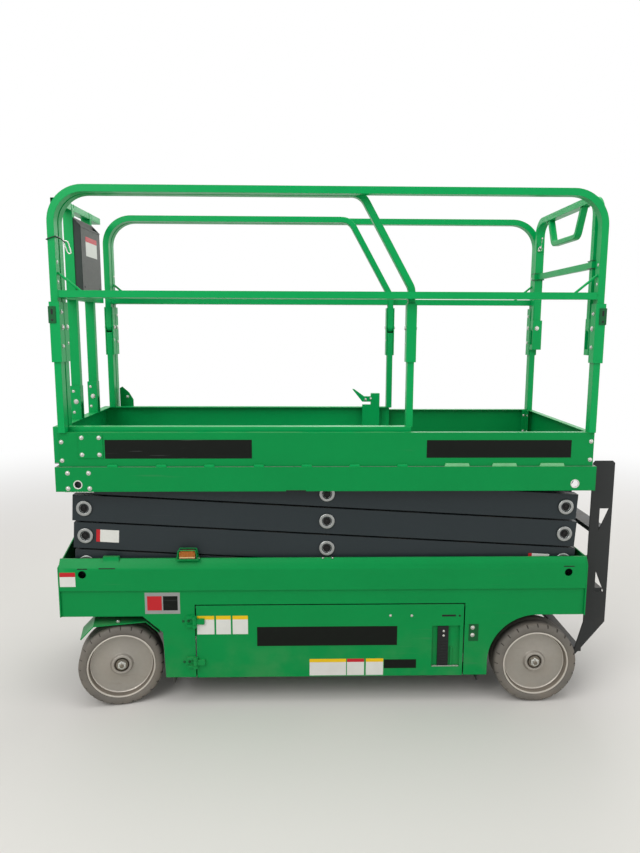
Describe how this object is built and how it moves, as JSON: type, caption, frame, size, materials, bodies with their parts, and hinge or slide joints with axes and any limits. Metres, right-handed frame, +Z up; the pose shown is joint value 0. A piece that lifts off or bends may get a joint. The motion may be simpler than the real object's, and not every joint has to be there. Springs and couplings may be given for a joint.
{
  "type": "scissor lift",
  "caption": "Self-propelled narrow scissor lift with a slab chassis, a folded scissor stack, a railed platform with a slide-out deck, and a rear entry ladder.",
  "frame": {"origin": "on the ground under the middle of the machine", "axes": "+X towards the entry ladder at the rear, +Y to the machine's right side, +Z up"},
  "size_m": [2.412, 0.8736, 2.1904],
  "materials": {
    "chassis_green": "satin",
    "rail_green": "satin",
    "frame_dark": "satin",
    "arm_charcoal": "satin",
    "deck_grey": "matte",
    "bare_steel": "satin",
    "rod_chrome": "polished",
    "tyre_grey": "matte",
    "rim_silver": "satin",
    "battery_case": "matte",
    "box_grey": "matte",
    "amber_lens": "gloss"
  },
  "bodies": {
    "chassis": {"chassis_side_left": "chassis_green", "chassis_side_right": "chassis_green", "chassis_ends": "chassis_green", "base_frame": "frame_dark", "front_axle": "frame_dark", "rear_axle": "frame_dark", "ladder": "frame_dark", "beacons": "amber_lens"},
    "knuckle_left": {"knuckle_left": "chassis_green"},
    "knuckle_right": {"knuckle_right": "chassis_green"},
    "tie_rod": {"tie_rod": "bare_steel"},
    "wheel_front_left": {"tyre_front_left": "tyre_grey", "rim_front_left": "rim_silver"},
    "wheel_front_right": {"tyre_front_right": "tyre_grey", "rim_front_right": "rim_silver"},
    "wheel_rear_left": {"tyre_rear_left": "tyre_grey", "rim_rear_left": "rim_silver"},
    "wheel_rear_right": {"tyre_rear_right": "tyre_grey", "rim_rear_right": "rim_silver"},
    "door_left": {"door_left": "chassis_green", "battery_pack": "battery_case"},
    "door_right": {"door_right": "chassis_green", "power_unit": "frame_dark"},
    "pothole_guard_left": {"pothole_guard_left": "frame_dark"},
    "pothole_guard_right": {"pothole_guard_right": "frame_dark"},
    "outer_1": {"arm_outer_1": "arm_charcoal"},
    "inner_1": {"arm_inner_1": "arm_charcoal"},
    "outer_2": {"arm_outer_2": "arm_charcoal"},
    "inner_2": {"arm_inner_2": "arm_charcoal"},
    "outer_3": {"arm_outer_3": "arm_charcoal"},
    "inner_3": {"arm_inner_3": "arm_charcoal"},
    "outer_4": {"arm_outer_4": "arm_charcoal"},
    "inner_4": {"arm_inner_4": "arm_charcoal"},
    "barrel": {"lift_cylinder_barrel": "arm_charcoal"},
    "rod": {"lift_cylinder_rod": "rod_chrome"},
    "platform": {"platform_deck": "deck_grey", "platform_side_left": "chassis_green", "platform_side_right": "chassis_green", "toe_board_left": "chassis_green", "toe_board_right": "chassis_green", "toe_board_rear": "chassis_green", "rail_posts": "rail_green", "side_rail_left": "rail_green", "side_rail_right": "rail_green"},
    "extension": {"extension_deck": "deck_grey", "extension_boards": "rail_green", "extension_rail_left": "rail_green", "extension_rail_right": "rail_green"},
    "front_rail": {"front_rail": "rail_green", "document_box": "box_grey"},
    "entry_frame": {"entry_frame": "rail_green"},
    "entry_bar": {"entry_bar": "rail_green"}
  },
  "joints": [
    {"name": "lift", "type": "hinge", "parent": "chassis", "child": "outer_1", "pos_m": [0.9675, 0, 0.52], "axis": [0, 1, 0], "range_deg": [0, 60.5]},
    {"name": "middle_pin_1", "type": "hinge", "parent": "outer_1", "child": "inner_1", "pos_m": [-0.06301, 0, 0.58], "axis": [0, 1, 0], "range_deg": [-121, 0]},
    {"name": "end_pin_1", "type": "hinge", "parent": "inner_1", "child": "outer_2", "pos_m": [0.9675, 0, 0.64], "axis": [0, 1, 0], "range_deg": [0, 121]},
    {"name": "middle_pin_2", "type": "hinge", "parent": "outer_2", "child": "inner_2", "pos_m": [-0.06301, 0, 0.7], "axis": [0, 1, 0], "range_deg": [-121, 0]},
    {"name": "end_pin_2", "type": "hinge", "parent": "inner_2", "child": "outer_3", "pos_m": [0.9675, 0, 0.76], "axis": [0, 1, 0], "range_deg": [0, 121]},
    {"name": "middle_pin_3", "type": "hinge", "parent": "outer_3", "child": "inner_3", "pos_m": [-0.06301, 0, 0.82], "axis": [0, 1, 0], "range_deg": [-121, 0]},
    {"name": "end_pin_3", "type": "hinge", "parent": "inner_3", "child": "outer_4", "pos_m": [0.9675, 0, 0.88], "axis": [0, 1, 0], "range_deg": [0, 121]},
    {"name": "middle_pin_4", "type": "hinge", "parent": "outer_4", "child": "inner_4", "pos_m": [-0.06301, 0, 0.94], "axis": [0, 1, 0], "range_deg": [-121, 0]},
    {"name": "platform_pin", "type": "hinge", "parent": "inner_4", "child": "platform", "pos_m": [0.9675, 0, 1], "axis": [0, 1, 0], "range_deg": [0, 60.5]},
    {"name": "cylinder_pin", "type": "hinge", "parent": "inner_1", "child": "barrel", "pos_m": [0.63581, 0, 0.62069], "axis": [0, 1, 0], "range_deg": [0, 129.88]},
    {"name": "cylinder_stroke", "type": "slide", "parent": "barrel", "child": "rod", "axis": [-0.9936, 0, 0.1128], "range_m": [0, 1.11933]},
    {"name": "steer", "type": "hinge", "parent": "chassis", "child": "knuckle_left", "pos_m": [-0.987, -0.245, 0.19], "axis": [0, 0, 1], "range_deg": [-62, 38]},
    {"name": "steer_right", "type": "hinge", "parent": "chassis", "child": "knuckle_right", "pos_m": [-0.987, 0.245, 0.19], "axis": [0, 0, 1], "range_deg": [-62, 38]},
    {"name": "tie_rod_pin", "type": "hinge", "parent": "knuckle_left", "child": "tie_rod", "pos_m": [-0.8794, -0.22213, 0.303], "axis": [0, 0, 1], "range_deg": [-38, 62]},
    {"name": "front_left_spin", "type": "hinge", "parent": "knuckle_left", "child": "wheel_front_left", "pos_m": [-0.96621, -0.34281, 0.18], "axis": [-0.2079, 0.9781, 0], "continuous": true},
    {"name": "front_right_spin", "type": "hinge", "parent": "knuckle_right", "child": "wheel_front_right", "pos_m": [-1.00779, 0.34281, 0.18], "axis": [-0.2079, 0.9781, 0], "continuous": true},
    {"name": "rear_left_spin", "type": "hinge", "parent": "chassis", "child": "wheel_rear_left", "pos_m": [0.859, -0.345, 0.18], "axis": [0, 1, 0], "continuous": true},
    {"name": "rear_right_spin", "type": "hinge", "parent": "chassis", "child": "wheel_rear_right", "pos_m": [0.859, 0.345, 0.18], "axis": [0, 1, 0], "continuous": true},
    {"name": "door_left_swing", "type": "hinge", "parent": "chassis", "child": "door_left", "pos_m": [-0.632, -0.408, 0.29], "axis": [0, 0, -1], "range_deg": [0, 95]},
    {"name": "door_right_swing", "type": "hinge", "parent": "chassis", "child": "door_right", "pos_m": [-0.632, 0.408, 0.29], "axis": [0, 0, 1], "range_deg": [0, 95]},
    {"name": "pothole_guard_left_drop", "type": "hinge", "parent": "chassis", "child": "pothole_guard_left", "pos_m": [-0.06, -0.34, 0.108], "axis": [-1, 0, 0], "range_deg": [0, 90]},
    {"name": "pothole_guard_right_drop", "type": "hinge", "parent": "chassis", "child": "pothole_guard_right", "pos_m": [-0.06, 0.34, 0.108], "axis": [1, 0, 0], "range_deg": [0, 90]},
    {"name": "extension_slide", "type": "slide", "parent": "platform", "child": "extension", "axis": [-1, 0, 0], "range_m": [0, 0.9]},
    {"name": "front_rail_fold", "type": "hinge", "parent": "extension", "child": "front_rail", "pos_m": [-1.1795, 0, 1.31], "axis": [0, 1, 0], "range_deg": [0, 90]},
    {"name": "entry_frame_fold", "type": "hinge", "parent": "platform", "child": "entry_frame", "pos_m": [1.041, 0, 1.64], "axis": [0, -1, 0], "range_deg": [0, 90]},
    {"name": "entry_bar_slide", "type": "slide", "parent": "entry_frame", "child": "entry_bar", "axis": [0, 0, 1], "range_m": [0, 0.1]}
  ],
  "couplings": [
    {"joint": "middle_pin_1", "follows": "lift", "ratio": -2},
    {"joint": "end_pin_1", "follows": "lift", "ratio": 2},
    {"joint": "middle_pin_2", "follows": "lift", "ratio": -2},
    {"joint": "end_pin_2", "follows": "lift", "ratio": 2},
    {"joint": "middle_pin_3", "follows": "lift", "ratio": -2},
    {"joint": "end_pin_3", "follows": "lift", "ratio": 2},
    {"joint": "middle_pin_4", "follows": "lift", "ratio": -2},
    {"joint": "platform_pin", "follows": "lift", "ratio": 1},
    {"joint": "cylinder_pin", "follows": "lift", "ratio": 2.1467},
    {"joint": "cylinder_stroke", "follows": "lift", "m_per_rad": 1.06},
    {"joint": "steer_right", "follows": "steer", "ratio": 1},
    {"joint": "tie_rod_pin", "follows": "steer", "ratio": -1}
  ]
}
